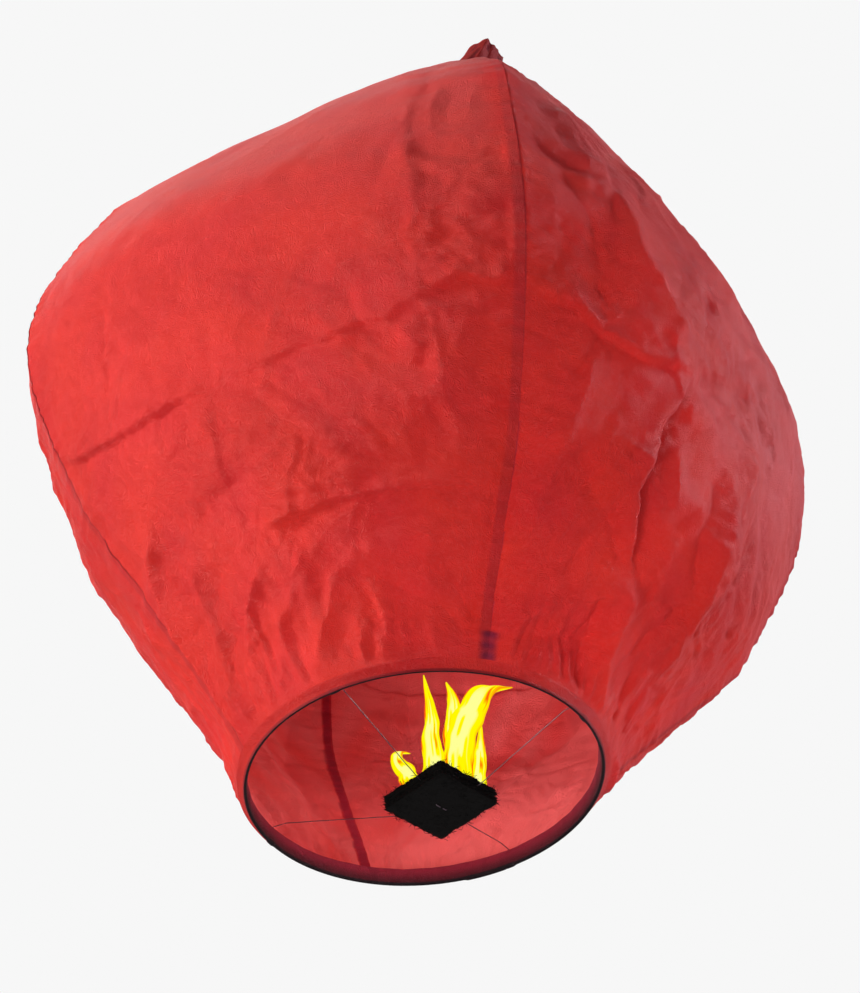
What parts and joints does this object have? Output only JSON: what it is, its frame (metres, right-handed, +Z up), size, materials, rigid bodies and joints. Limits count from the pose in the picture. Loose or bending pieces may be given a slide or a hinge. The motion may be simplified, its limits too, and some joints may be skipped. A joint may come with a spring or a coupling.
{
  "type": "sky lantern",
  "caption": "Paper sky lantern: gored envelope gathered at the crown, round wire hoop at the mouth, crossed wires and a square waxed fuel pad hung in the opening.",
  "frame": {"origin": "centre of the wire hoop, in the plane of the wire's middle", "axes": "+Z up the envelope from the hoop; -Y towards the front seam; +X to the right seen from the front seam"},
  "size_m": [0.6941, 0.6972, 0.7847],
  "materials": {
    "paper": "thin crinkled tissue paper, matt with a slight waxy sheen",
    "knot_paper": "several folded layers of the same tissue",
    "hoop_wire": "black wire",
    "thin_wire": "dull dark iron wire",
    "fuel_pad": "charred, wax-soaked fibre sheets"
  },
  "bodies": {
    "frame": {"gore_0": "paper", "gore_1": "paper", "gore_2": "paper", "gore_3": "paper", "hoop": "hoop_wire", "hoop_splice": "hoop_wire", "cross_wire_low": "thin_wire", "cross_wire_high": "thin_wire"},
    "crown": {"crown_knot": "knot_paper"},
    "fuel_cell": {"fuel_sheet_0": "fuel_pad", "fuel_sheet_1": "fuel_pad", "fuel_sheet_2": "fuel_pad", "fuel_sheet_3": "fuel_pad", "fuel_sheet_4": "fuel_pad", "fuel_sheet_5": "fuel_pad", "fuel_staple": "thin_wire"}
  },
  "joints": [
    {"name": "envelope_collapse", "type": "slide", "parent": "frame", "child": "crown", "axis": [0, 0, 1], "range_m": [-0.6035, 0], "deforming": ["gore_0", "gore_1", "gore_2", "gore_3"]},
    {"name": "fuel_cell_lift", "type": "slide", "parent": "frame", "child": "fuel_cell", "axis": [0, 0, 1], "range_m": [0, 0.0315], "deforming": ["cross_wire_low", "cross_wire_high"]}
  ]
}
